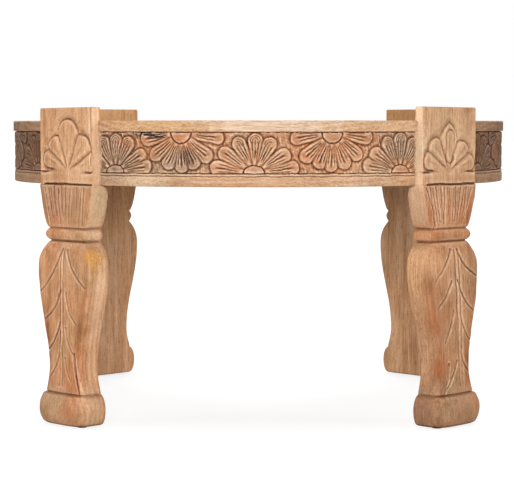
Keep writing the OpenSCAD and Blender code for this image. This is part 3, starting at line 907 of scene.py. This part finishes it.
def glides(material):
    """Pads under the feet, two to a foot, each on its nail."""
    pad = bmesh.new()
    radius = GLIDE_D / 2
    outline = [
        (0, 0), (radius - 2.2, 0), (radius - 0.9, 0.2), (radius - 0.2, 0.7), (radius, 1.3),
        (radius, FOOT_Z), (NAIL_D / 2, FOOT_Z), (NAIL_D / 2, NAIL_TIP_Z - NAIL_POINT), (0, NAIL_TIP_Z),
    ]
    spun(pad, outline, 40)
    mesh = baked("glide", pad)
    for name, angle in LEG_ANGLES.items():
        bm = bmesh.new()
        for side in (-1, 1):
            place = seat(angle, side * GLIDE_REACH, GLIDE_R + FOOT_SPREADS[name], 0)
            placed(bm, mesh, place)
        finish(f"pads_{name}", bm, [f"glides_{name}"], material)


# ---- shader helpers ----


def feed(tree, node, inputs):
    """Gives each named input of a node its value, or the socket that feeds it."""
    for key, value in inputs.items():
        if isinstance(value, bpy.types.NodeSocket):
            tree.links.new(value, node.inputs[key])
        else:
            node.inputs[key].default_value = value


def add(tree, kind, inputs=None, **settings):
    """New node with its settings and inputs."""
    made = tree.nodes.new(kind)
    for key, value in settings.items():
        setattr(made, key, value)
    feed(tree, made, inputs or {})
    return made


def maths(tree, operation, first, second=0.5, clamp=False):
    inputs = {0: first, 1: second}
    return add(tree, "ShaderNodeMath", inputs, operation=operation, use_clamp=clamp).outputs[0]


def times(tree, first, second, clamp=False):
    return maths(tree, "MULTIPLY", first, second, clamp)


def vector_maths(tree, operation, *values):
    return add(tree, "ShaderNodeVectorMath", dict(enumerate(values)), operation=operation).outputs


def noise(tree, place, scale, detail=2.0, rough=0.5):
    inputs = {"Vector": place, "Scale": scale, "Detail": detail, "Roughness": rough}
    return add(tree, "ShaderNodeTexNoise", inputs).outputs["Fac"]


def streaks(tree, place, wide, long, detail, rough=0.5):
    """Noise that is drawn out along Z, with this scale across and along it."""
    place = vector_maths(tree, "MULTIPLY", place, (wide, wide, long))[0]
    return noise(tree, place, 1.0, detail, rough)


def ranged(tree, value, low, high, to_low=0.0, to_high=1.0):
    inputs = {"Value": value, "From Min": low, "From Max": high, "To Min": to_low, "To Max": to_high}
    return add(tree, "ShaderNodeMapRange", inputs).outputs["Result"]


def blended(tree, amount, first, second, blend="MIX"):
    inputs = {0: amount, 6: first, 7: second}
    node = add(tree, "ShaderNodeMix", inputs, data_type="RGBA", blend_type=blend)
    return node.outputs[2]


def darkened(tree, amount, colour, tint):
    return blended(tree, amount, colour, tint, "MULTIPLY")


def bump(tree, height, strength, distance):
    inputs = {"Height": height, "Strength": strength, "Distance": distance}
    return add(tree, "ShaderNodeBump", inputs).outputs[0]


def object_place(tree):
    return add(tree, "ShaderNodeTexCoord").outputs["Object"]


def new_group(name, inputs, outputs):
    """New node group, with what it is given and its output node."""
    tree = bpy.data.node_groups.new(name, "ShaderNodeTree")
    for label, kind in inputs:
        tree.interface.new_socket(label, in_out="INPUT", socket_type=f"NodeSocket{kind}")
    for label, kind in outputs:
        tree.interface.new_socket(label, in_out="OUTPUT", socket_type=f"NodeSocket{kind}")
    return tree, add(tree, "NodeGroupInput").outputs, add(tree, "NodeGroupOutput")


MIDDLE = (0.3, 0.7)
RING_PITCH = 0.0075
GRAIN_BROWN = (0.5, 0.38, 0.3, 1)
PORE_BROWN = (0.36, 0.25, 0.19, 1)
SEAM_BROWN = (0.3, 0.2, 0.15, 1)
END_BROWN = (0.42, 0.32, 0.25, 1)
# dark brown of the cuts: the wood's patina there, and painted shade
RECESS_PATINA_AND_SHADE = (0.25, 0.158, 0.108, 1)
COOL_STAIN = (0.57, 0.48, 0.38, 1)
WARM_STAIN = (0.80, 0.50, 0.33, 1)
PALE_SAPWOOD = (0.90, 0.63, 0.42, 1)
# pale of the ridges: wear, and painted highlight
PALE_WEAR_AND_HIGHLIGHT = (0.88, 0.65, 0.46, 1)


def grain_group():
    """Wood grain that runs along Z of the place it is given, in metres."""
    outputs = [(name, "Float") for name in ("Tone", "Streaks", "Fibres", "Pores")]
    tree, given, out = new_group("Wood grain", [("Place", "Vector"), ("Rings", "Float")], outputs)
    place = given["Place"]
    bend = streaks(tree, place, 7, 1.6, 3, 0.55)
    split = add(tree, "ShaderNodeSeparateXYZ", {0: place}).outputs
    wide = maths(tree, "POWER", split["X"], 2.0)
    deep = maths(tree, "POWER", split["Y"], 2.0)
    from_pith = maths(tree, "SQRT", maths(tree, "ADD", wide, deep))
    bent = maths(tree, "ADD", from_pith, times(tree, bend, 0.05))
    rings = maths(tree, "SINE", times(tree, bent, 2 * math.pi / RING_PITCH))
    rings = maths(tree, "POWER", ranged(tree, rings, -1, 1), 1.6)
    patches = ranged(tree, streaks(tree, place, 11, 2.6, 3, 0.55), *MIDDLE)
    soft = ranged(tree, streaks(tree, place, 75, 5, 2), 0.34, 0.66)
    thin = ranged(tree, streaks(tree, place, 250, 11, 3, 0.6), *MIDDLE)
    plain = maths(tree, "ADD", times(tree, patches, 0.4), times(tree, soft, 0.3))
    plain = maths(tree, "ADD", plain, times(tree, thin, 0.3))
    tone = add(tree, "ShaderNodeMix", {0: given["Rings"], 2: plain, 3: rings}, data_type="FLOAT")
    fibres = streaks(tree, place, 520, 22, 3, 0.65)
    pores = streaks(tree, place, 1000, 75, 0)
    fibres, pores = ranged(tree, fibres, *MIDDLE), ranged(tree, pores, 0.62, 0.74)
    feed(tree, out, {"Tone": tone.outputs[0], "Streaks": thin, "Fibres": fibres, "Pores": pores})
    return tree


def patina_and_painted_light_group():
    """Uneven patina, recesses darkened as patina and painted shade, and ridges lightened as wear and
    painted highlight, over a wood colour.
    """
    masks = [(name, "Float") for name in ("Hollow", "Stain", "Ridge", "Sapwood")]
    inputs = [("Colour", "Color"), ("Place", "Vector"), *masks]
    tree, given, out = new_group("Patina, wear and painted light", inputs, [("Colour", "Color")])
    place = given["Place"]
    blotch = noise(tree, place, 26.0, 4, 0.6)
    fine = noise(tree, place, 140.0, 3, 0.6)
    warmth = ranged(tree, noise(tree, place, 14.0, 3), 0.4, 0.6)
    tint = blended(tree, warmth, COOL_STAIN, WARM_STAIN)
    pale = times(tree, ranged(tree, blotch, *MIDDLE, 1, 0.55), given["Sapwood"], clamp=True)
    colour = blended(tree, pale, given["Colour"], PALE_SAPWOOD)
    stain = times(tree, given["Stain"], ranged(tree, blotch, *MIDDLE, 0.45, 1.25), clamp=True)
    colour = darkened(tree, stain, colour, tint)
    # the cuts darkened as patina and as painted shade
    recess = times(tree, given["Hollow"], ranged(tree, fine, *MIDDLE, 0.75, 1.15), clamp=True)
    colour = darkened(tree, recess, colour, RECESS_PATINA_AND_SHADE)
    # the cuts' shoulders and the apron ends lightened as wear and as painted highlight
    worn = times(tree, ranged(tree, fine, *MIDDLE, 0.15, 0.75), given["Ridge"], clamp=True)
    colour = blended(tree, worn, colour, PALE_WEAR_AND_HIGHLIGHT)
    speckle = ranged(tree, noise(tree, place, 420.0, 2, 0.6), *MIDDLE, 0.4, 0.0)
    feed(tree, out, {"Colour": darkened(tree, speckle, colour, GRAIN_BROWN)})
    return tree


GRAIN = grain_group()
PATINA_AND_PAINTED_LIGHT = patina_and_painted_light_group()


def attribute(tree, name):
    return add(tree, "ShaderNodeAttribute", attribute_name=name).outputs["Fac"]


def new_material(name):
    """New material, with its node tree and its shader."""
    material = bpy.data.materials.new(name)
    material.use_nodes = True
    tree = material.node_tree
    return material, tree, tree.nodes["Principled BSDF"]


def ramp_colour(tree, tone, stops):
    """Colour of the wood at each tone, from its dark to its pale stops."""
    ramp = add(tree, "ShaderNodeValToRGB", {"Fac": tone})
    band = ramp.color_ramp
    while len(band.elements) < len(stops):
        band.elements.new(0.5)
    for element, (position, colour) in zip(band.elements, stops):
        element.position = position
        element.color = (*colour, 1)
    return ramp.outputs[0]


def blotch_mask(tree, spot, centre, reach, strength):
    """Mask of a blotch round a place, with a ragged edge."""
    centre, reach = ([value * MM for value in side] for side in (centre, reach))
    gap = vector_maths(tree, "SUBTRACT", spot, centre)[0]
    gap = vector_maths(tree, "LENGTH", vector_maths(tree, "DIVIDE", gap, reach)[0])["Value"]
    ragged = times(tree, noise(tree, spot, 70.0, 4, 0.65), 1.4)
    return ranged(tree, maths(tree, "ADD", gap, ragged), 1.12, 1.6, strength, 0)


def seam_lines(tree, spot, colour):
    """Colour with dark lines along the seams between the boards, clear of the rim."""
    across = add(tree, "ShaderNodeSeparateXYZ", {0: spot}).outputs["Y"]
    within = maths(tree, "LESS_THAN", maths(tree, "ABSOLUTE", across), (TOP_R - 10) * MM)
    board = maths(tree, "DIVIDE", across, 2 * TOP_R * MM / BOARDS)
    off_middle = maths(tree, "SUBTRACT", maths(tree, "FRACT", board), 0.5)
    near_seam = ranged(tree, maths(tree, "ABSOLUTE", off_middle), 0.487, 0.497, 0, 0.75)
    return darkened(tree, times(tree, near_seam, within), colour, SEAM_BROWN)


def with_patina_and_painted_light(tree, spot, colour, inside_marks):
    """Colour with the patina, painted shade and painted highlight of a carved piece; blotches keep the
    sapwood out.
    """
    sapwood = attribute(tree, "sapwood")
    for inside in inside_marks:
        sapwood = times(tree, sapwood, maths(tree, "SUBTRACT", 1.0, inside))
    masks = {key: attribute(tree, key.lower()) for key in ("Hollow", "Stain", "Ridge")}
    inputs = {"Colour": colour, "Place": spot, "Sapwood": sapwood, **masks}
    return add(tree, "ShaderNodeGroup", inputs, node_tree=PATINA_AND_PAINTED_LIGHT).outputs[0]


def wood(
    name, stops, to_grain, pith, shift, rough=0.62, carved=True,
    marks=(), rings=0.2, seams=False, grain_depth=0.55,
):
    """Procedural wood: stops are its colours from dark to pale; to_grain turns the grain to Z."""
    material, tree, shader = new_material(name)
    spot = object_place(tree)
    mapping = {"Vector": spot, "Location": (*pith, shift), "Rotation": to_grain.to_euler()}
    place = add(tree, "ShaderNodeMapping", mapping).outputs[0]
    grain = add(tree, "ShaderNodeGroup", {"Place": place, "Rings": rings}, node_tree=GRAIN)
    tone, thin, fibres, pores = grain.outputs
    colour = ramp_colour(tree, tone, stops)
    inside_marks = []
    for centre, reach, tint, strength in marks:
        inside = blotch_mask(tree, spot, centre, reach, strength)
        colour = blended(tree, inside, colour, (*tint, 1))
        inside_marks.append(inside)
    colour = darkened(tree, ranged(tree, fibres, 0, 1, grain_depth, 0.0), colour, GRAIN_BROWN)
    colour = darkened(tree, times(tree, pores, 0.5), colour, PORE_BROWN)
    if seams:
        colour = seam_lines(tree, spot, colour)
    if carved:
        colour = with_patina_and_painted_light(tree, spot, colour, inside_marks)
    normal = add(tree, "ShaderNodeNewGeometry").outputs["Normal"]
    grain_way = to_grain.inverted() @ Vector((0, 0, 1))
    end = vector_maths(tree, "DOT_PRODUCT", normal, grain_way)["Value"]
    end = ranged(tree, maths(tree, "ABSOLUTE", end), 0.55, 0.95, 0, 0.75)
    surface = {
        "Base Color": darkened(tree, end, colour, END_BROWN),
        "Roughness": ranged(tree, thin, 0, 1, rough + 0.08, rough - 0.08),
        "Specular IOR Level": 0.2,
        "Normal": bump(tree, maths(tree, "SUBTRACT", fibres, pores), 0.5, 0.0004),
    }
    feed(tree, shader, surface)
    return material


def turn_grain(kind, angle=0):
    """Rotation that brings a piece's grain to Z: upright, or level in the direction of the angle."""
    level = Matrix.Rotation(math.radians(-angle), 3, "Z")
    if kind == "upright":
        return level
    return Matrix.Rotation(math.radians(-90), 3, "Y") @ level


def shaded(stops, amount, warm=0.0):
    """Stops made lighter or darker, and warmer or cooler."""
    tint = np.array((1, 1 - warm, 1 - 2 * warm)) * amount
    return [(position, tuple(tint * colour)) for position, colour in stops]


LEG_STOPS = (
    (0.15, (0.46, 0.222, 0.100)),
    (0.40, (0.69, 0.392, 0.200)),
    (0.62, (0.80, 0.486, 0.272)),
    (0.88, (0.91, 0.618, 0.402)),
)
# tone of each apron's wood; the side aprons are darker as painted shade, as they turn away from the
# light
APRON_TONES_AND_SHADE = {"front": (1.0, 0.0), "right": (0.76, 0.04), "rear": (0.97, 0.0), "left": (0.68, 0.05)}
# tone of each leg's wood; the rear legs are paler as painted light, for the light they lose further
# from the lamps
LEG_TONES_AND_PAINTED_LIGHT = {
    "front_left": (1.0, 0.0), "front_right": (0.85, 0.01),
    "rear_right": (1.03, -0.05), "rear_left": (1.14, 0.0),
}
APRON_STOPS = (
    (0.15, (0.47, 0.265, 0.145)),
    (0.40, (0.61, 0.385, 0.226)),
    (0.62, (0.71, 0.475, 0.298)),
    (0.88, (0.79, 0.585, 0.402)),
)


# centre, reach, colour and strength of each blotch in the wood; all are natural but the painted crack
# shadows on the front apron
LEG_PATCHES = {
    "front_left": (
        ((-229, -308, 250), (32, 32, 38), (0.52, 0.26, 0.11), 0.7),
        ((-225, -304, 241), (22, 22, 26), (0.81, 0.42, 0.11), 0.88),
        ((-219, -291, 318), (26, 26, 32), (0.80, 0.68, 0.40), 0.6),
        ((-284, -256, 321), (36, 36, 32), (0.59, 0.26, 0.13), 0.6),
        ((-280, -280, 30), (80, 80, 50), (0.71, 0.50, 0.33), 0.55),
    ),
    "front_right": (
        ((270, -270, 405), (110, 110, 75), (0.93, 0.68, 0.43), 0.3),
        ((290, -290, 30), (80, 80, 50), (0.63, 0.46, 0.31), 0.5),
        ((230, -286, 272), (40, 40, 18), (0.68, 0.28, 0.12), 0.6),
        ((222, -305, 38), (48, 48, 70), (0.33, 0.17, 0.095), 0.85),
        ((213, -296, 400), (24, 24, 75), (1.00, 0.94, 0.71), 0.6),
        ((225, -292, 235), (40, 40, 50), (0.98, 0.58, 0.30), 0.4),
        ((238, -304, 115), (60, 60, 120), (0.52, 0.30, 0.17), 0.5),
    ),
    # the rear posts' blotches darken them above the top, against the painted light on the rest of
    # their legs
    "rear_right": (((270, 270, 445), (150, 150, 40), (0.48, 0.26, 0.10), 0.85),),
    "rear_left": (((-270, 270, 445), (150, 150, 40), (0.71, 0.44, 0.20), 0.5),),
}
FRONT_PATCHES = (
    ((-197, -317, 385), (46, 50, 60), (0.36, 0.25, 0.17), 0.85),
    ((-105, -358, 376), (65, 50, 28), (0.39, 0.29, 0.21), 0.7),
    ((-143, -346, 404), (70, 60, 36), (0.75, 0.32, 0.12), 0.75),
    ((-94, -361, 381), (14, 50, 16), (0.14, 0.070, 0.048), 0.8),
    # the two near-black blotches are painted shadow in the crack under the rim
    ((-153, -341, 413.5), (28, 50, 8), (0.10, 0.047, 0.030), 0.95),
    ((-140, -346, 409), (26, 50, 6.5), (0.10, 0.047, 0.030), 0.95),
    ((193, -320, 392), (34, 50, 34), (0.41, 0.30, 0.23), 0.45),
    ((203, -313, 364), (44, 50, 18), (0.73, 0.36, 0.14), 0.6),
    ((-160, -338, 348), (60, 50, 13), (0.84, 0.68, 0.48), 0.55),
)


def leg_wood(name, angle, seed):
    """Warm wood with its grain upright."""
    rng = np.random.default_rng(seed)
    pith = tuple(rng.uniform(-0.05, 0.05, 2) + (0.0, -0.42))
    stops = shaded(LEG_STOPS, *LEG_TONES_AND_PAINTED_LIGHT[name])
    to_grain = turn_grain("upright", angle + 90)
    return wood(f"leg wood {name}", stops, to_grain, pith, seed * 1.7, marks=LEG_PATCHES[name])


def apron_wood(name, angle, seed):
    """Duller wood with its grain level."""
    rng = np.random.default_rng(seed)
    pith = tuple(rng.uniform(-0.04, 0.04, 2) + (-0.37, 0.30))
    stops = shaded(APRON_STOPS, *APRON_TONES_AND_SHADE[name])
    marks = FRONT_PATCHES if name == "front" else ()
    to_grain = turn_grain("level", angle + 90)
    return wood(f"apron wood {name}", stops, to_grain, pith, seed * 0.7, marks=marks)


EDGE_PATCHES = (
    ((30, -375, 435), (140, 50, 60), (0.77, 0.605, 0.455), 0.7),
    ((-150, -343, 430), (130, 50, 60), (0.68, 0.42, 0.21), 0.5),
    ((190, -323, 430), (70, 50, 60), (0.70, 0.45, 0.26), 0.5),
)


def top_wood(number):
    """Board's wood, with a few knots on top and blotches along the front of the rim."""
    rng = np.random.default_rng(number + 60)
    pith = tuple(rng.uniform(-0.05, 0.05, 2) + (-0.50, 0.02))
    stops = shaded(APRON_STOPS, rng.uniform(0.80, 0.97), rng.uniform(-0.02, 0.06))
    middle = ((number - 0.5) * 2 / BOARDS - 1) * TOP_R
    marks = []
    for x, y in rng.uniform((-300, -40), (300, 40), (2, 2)):
        marks.append(((x, middle + y, TOP_Z), (16, 10, 30), (0.15, 0.07, 0.035), 0.85))
    marks = marks[: (number + 2) % 3]
    if number == 1:
        marks.extend(EDGE_PATCHES)
    return wood(
        f"top wood {number}", stops, turn_grain("level"), pith, number * 3.1, rough=0.7,
        carved=False, marks=marks, rings=0.3, seams=True, grain_depth=0.7,
    )


def frame_wood(name, angle, seed):
    """Plain wood of the hidden frame."""
    stops = shaded(APRON_STOPS, 0.86, 0.02)
    to_grain = turn_grain("level", angle)
    return wood(f"frame wood {name}", stops, to_grain, (0.2, 0.1), seed * 2.3, 0.72, carved=False)


def dowel_wood():
    return wood("dowel wood", APRON_STOPS, turn_grain("level", 90), (0.1, 0.1), 5.0, 0.7, carved=False)


def plain_finish(name, colour, dark, rough, metal=0.0, scale=900.0):
    """Worn metal or moulded plastic, with fine uneven colour and gloss."""
    material, tree, shader = new_material(name)
    spot = object_place(tree)
    speckle = noise(tree, spot, scale, 3, 0.6)
    cloud = noise(tree, spot, scale / 8, 2)
    amount = ranged(tree, maths(tree, "ADD", speckle, cloud), 0.75, 1.25)
    surface = {
        "Base Color": blended(tree, amount, (*dark, 1), (*colour, 1)),
        "Roughness": ranged(tree, cloud, *MIDDLE, rough - 0.1, rough + 0.12),
        "Metallic": metal,
        "Normal": bump(tree, speckle, 0.3, 0.0001),
    }
    feed(tree, shader, surface)
    return material


# ---- stage, light and camera ----

WHITE = (1, 1, 1, 1)
AMBIENT = 0.08
FLOOR_COLOUR = (0.3, 0.3, 0.3, 1)
FLOOR_GLOW = 0.8


def background_rays(tree):
    """1 for the rays that see the plain background rather than gather its light."""
    rays = add(tree, "ShaderNodeLightPath").outputs
    seen = maths(tree, "ADD", rays["Is Camera Ray"], rays["Is Glossy Ray"], clamp=True)
    return maths(tree, "ADD", seen, rays["Is Transmission Ray"], clamp=True)


def white_world():
    world = bpy.data.worlds.new("studio")
    bpy.context.scene.world = world
    world.use_nodes = True
    tree = world.node_tree
    strength = ranged(tree, background_rays(tree), 0, 1, AMBIENT, 1.0)
    feed(tree, tree.nodes["Background"], {"Color": WHITE, "Strength": strength})


def floor():
    """Plain pale floor, which can't be seen from below."""
    bm = bmesh.new()
    bmesh.ops.create_grid(bm, x_segments=1, y_segments=1, size=40)
    ground = linked("floor", baked("floor", bm))
    material, tree, shader = new_material("floor")
    seen = add(tree, "ShaderNodeLightPath").outputs["Is Camera Ray"]
    surface = {
        "Base Color": FLOOR_COLOUR,
        "Roughness": 1.0,
        "Specular IOR Level": 0.0,
        "Emission Color": WHITE,
        "Emission Strength": ranged(tree, seen, 0, 1, 0, FLOOR_GLOW),
    }
    feed(tree, shader, surface)
    underside = add(tree, "ShaderNodeNewGeometry").outputs["Backfacing"]
    clear = add(tree, "ShaderNodeBsdfTransparent").outputs[0]
    both = add(tree, "ShaderNodeMixShader", {0: underside, 1: shader.outputs[0], 2: clear})
    feed(tree, tree.nodes["Material Output"], {"Surface": both.outputs[0]})
    ground.data.materials.append(material)


def sun(name, azimuth, elevation, strength, spread):
    """Soft distant lamp that shines from this azimuth, 0 being the front, and elevation."""
    lamp = bpy.data.lights.new(name, "SUN")
    lamp.energy = strength
    lamp.angle = math.radians(spread)
    made = linked(name, lamp)
    made.rotation_euler = (math.radians(90 - elevation), 0, math.radians(azimuth))


def softbox(name, place, size, power):
    """Square soft lamp at this place, aimed at the middle of the table."""
    lamp = bpy.data.lights.new(name, "AREA")
    lamp.size = size
    lamp.energy = power
    made = linked(name, lamp)
    made.location = place
    aim = Vector((0, 0, POST_H / 2 * MM)) - Vector(place)
    made.rotation_euler = aim.to_track_quat("-Z", "Y").to_euler()
    made.visible_camera = False


def lights():
    softbox("key", (-0.2, -2.9, 0.8), 0.7, 34)
    softbox("front_fill", (0.0, -2.9, 0.38), 0.7, 31)
    sun("rear_fill", 180, 35, 2.5, 50)
    sun("left_fill", -75, 9, 1.6, 40)
    sun("right_fill", 75, 9, 1.6, 40)
    sun("top_light", 0, 88, 1.0, 50)


CAMERA_X = 0.008
CAMERA_Y = -2.8357
CAMERA_Z = 0.4239
CAMERA_TILT = 3.61
CAMERA_TURN = 0.203
LENS = 128.28


def camera():
    eye = bpy.data.cameras.new("camera")
    eye.lens = LENS
    eye.sensor_width = 36
    holder = linked("camera", eye)
    holder.location = (CAMERA_X, CAMERA_Y, CAMERA_Z)
    holder.rotation_euler = (math.radians(90 - CAMERA_TILT), 0, math.radians(CAMERA_TURN))
    bpy.context.scene.camera = holder


# ---- the table ----

camera()
lights()
white_world()
floor()
for name, angle in LEG_ANGLES.items():
    leg(name, angle)
for name, angle in APRON_ANGLES.items():
    apron(name, angle)
boards()
inner_frame()
screws(plain_finish("zinc steel", (0.62, 0.62, 0.6), (0.36, 0.36, 0.36), 0.35, metal=1.0))
glides(plain_finish("glide plastic", (0.022, 0.020, 0.020), (0.012, 0.011, 0.011), 0.45))
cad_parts["board_dowels"].data.materials.clear()
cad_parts["board_dowels"].data.materials.append(dowel_wood())

bpy.context.scene.view_settings.view_transform = "Standard"
